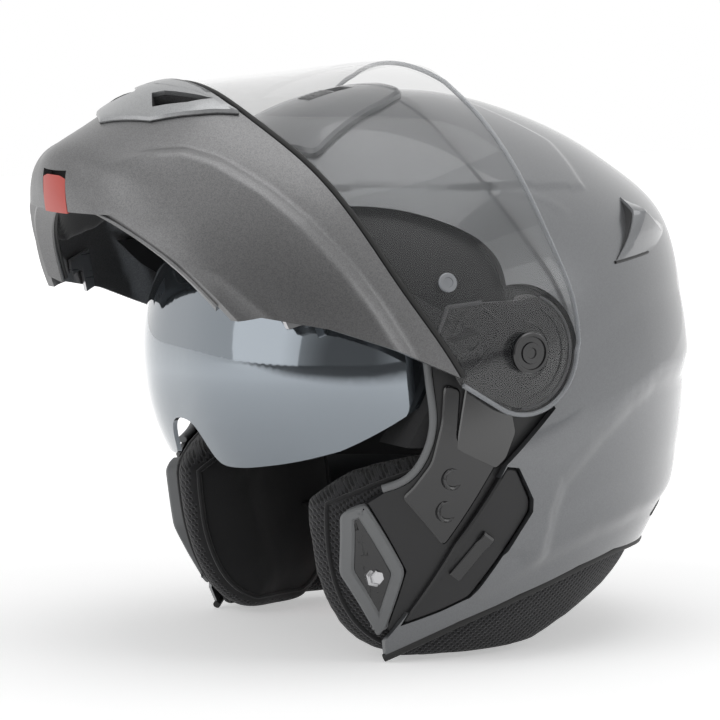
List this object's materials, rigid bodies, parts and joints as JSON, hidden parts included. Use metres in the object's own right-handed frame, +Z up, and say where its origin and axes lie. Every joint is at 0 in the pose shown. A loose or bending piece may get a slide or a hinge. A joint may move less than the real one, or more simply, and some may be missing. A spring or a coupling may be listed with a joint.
{
  "type": "modular motorcycle helmet",
  "caption": "Modular flip-up motorcycle helmet with raised chin bar and clear visor, lowered tinted sun visor, vents, latch, cheek pads, liner and chin strap.",
  "frame": {"origin": "on the floor under the cheek pads, in the middle of the helmet's width and of its length with the chin bar raised", "axes": "+Z up, the helmet faces -Y, +X towards the wearer's left side"},
  "size_m": [0.2652, 0.3326, 0.2766],
  "materials": {
    "shell_gloss": "gloss clear coat over fine metallic grey on a fibre shell",
    "titanium_satin": "satin metallic with fine sparkle",
    "silver_paint": "satin silver paint on plastic",
    "black_plastic": "fine grained matte",
    "satin_black": "satin",
    "red_plastic": "satin red",
    "grey_rubber": "matte",
    "black_rubber": "matte",
    "steel": "plain",
    "clear_lens": "clear polycarbonate",
    "smoke_lens": "smoke with silver mirror coating",
    "foam": "expanded bead foam",
    "mesh_fabric": "black open mesh knit over foam",
    "soft_fabric": "black brushed synthetic",
    "webbing": "woven nylon webbing"
  },
  "bodies": {
    "shell": {"outer_shell": "shell_gloss", "face_frame": "black_plastic", "frame_cheek_left": "black_plastic", "frame_cheek_right": "black_plastic", "eyeport_gasket": "grey_rubber", "side_plate_left": "satin_black", "side_plate_right": "satin_black", "plate_sockets_left": "black_plastic", "plate_sockets_right": "black_plastic", "lock_plate_left": "black_plastic", "lock_plate_right": "black_plastic", "lock_striker_left": "steel", "lock_striker_right": "steel", "side_panel_left": "black_plastic", "side_panel_right": "black_plastic", "sun_visor_pins": "steel", "rim_trim": "black_rubber", "top_vent_cover": "shell_gloss", "rear_vent_left": "black_plastic", "rear_vent_right": "black_plastic", "hinge_pin_left": "steel", "hinge_pin_right": "steel", "impact_liner": "foam", "crown_liner": "mesh_fabric", "neck_roll": "soft_fabric", "cheek_pad_left": "mesh_fabric", "cheek_pad_right": "mesh_fabric", "chin_strap_left": "webbing", "chin_strap_right": "webbing", "strap_rivets": "steel", "buckle_body": "steel", "strap_tongue": "black_plastic"},
    "chin_bar": {"chin_bar": "titanium_satin", "chin_liner": "mesh_fabric", "chin_vent_frame": "silver_paint", "visor_seal": "black_rubber", "hinge_plate_left": "steel", "hinge_plate_right": "steel", "pivot_cap_left": "satin_black", "pivot_cap_right": "satin_black"},
    "clear_visor": {"clear_visor": "clear_lens", "lens_pins": "black_plastic"},
    "sun_visor": {"sun_visor": "smoke_lens"},
    "sun_visor_slider": {"sun_visor_slider": "black_plastic"},
    "chin_vent_shutter": {"chin_vent_shutter": "black_plastic"},
    "latch_button": {"latch_button": "red_plastic"},
    "latch_hook_left": {"latch_hook_left": "steel"},
    "latch_hook_right": {"latch_hook_right": "steel"},
    "top_vent_slider": {"top_vent_slider": "black_plastic"},
    "buckle_lever": {"buckle_lever": "red_plastic"}
  },
  "joints": [
    {"name": "chin_bar_hinge", "type": "hinge", "parent": "shell", "child": "chin_bar", "pos_m": [0, 0.01348, 0.147], "axis": [1, 0, 0], "range_deg": [0, 70]},
    {"name": "clear_visor_hinge", "type": "hinge", "parent": "chin_bar", "child": "clear_visor", "pos_m": [0, 0.01348, 0.147], "axis": [1, 0, 0], "range_deg": [-26, 0]},
    {"name": "sun_visor_hinge", "type": "hinge", "parent": "shell", "child": "sun_visor", "pos_m": [0, -0.00153, 0.13695], "axis": [1, 0, 0], "range_deg": [-60, 0]},
    {"name": "sun_visor_slide", "type": "slide", "parent": "shell", "child": "sun_visor_slider", "axis": [0.2986, 0.5513, 0.779], "range_m": [0, 0.0102]},
    {"name": "latch_press", "type": "slide", "parent": "chin_bar", "child": "latch_button", "axis": [0, 0.9397, 0.342], "range_m": [0, 0.004], "stiffness_N_per_m": 600, "springref_m": -0.002},
    {"name": "latch_hook_left_slide", "type": "slide", "parent": "chin_bar", "child": "latch_hook_left", "axis": [0, 0.9397, 0.342], "range_m": [0, 0.0031]},
    {"name": "latch_hook_right_slide", "type": "slide", "parent": "chin_bar", "child": "latch_hook_right", "axis": [0, 0.9397, 0.342], "range_m": [0, 0.0031]},
    {"name": "chin_vent_slide", "type": "slide", "parent": "chin_bar", "child": "chin_vent_shutter", "axis": [0, -0.8919, -0.4523], "range_m": [0, 0.004]},
    {"name": "top_vent_slide", "type": "slide", "parent": "shell", "child": "top_vent_slider", "axis": [0, 0.9653, 0.2611], "range_m": [0, 0.008]},
    {"name": "buckle_lever_hinge", "type": "hinge", "parent": "shell", "child": "buckle_lever", "pos_m": [-0.0343, 0.01853, 0.01717], "axis": [0, 1, 0], "range_deg": [-35, 0]}
  ],
  "couplings": [
    {"joint": "sun_visor_slide", "follows": "sun_visor_hinge", "m_per_rad": -0.00955},
    {"joint": "latch_hook_left_slide", "follows": "latch_press", "ratio": 0.75},
    {"joint": "latch_hook_right_slide", "follows": "latch_press", "ratio": 0.75}
  ]
}
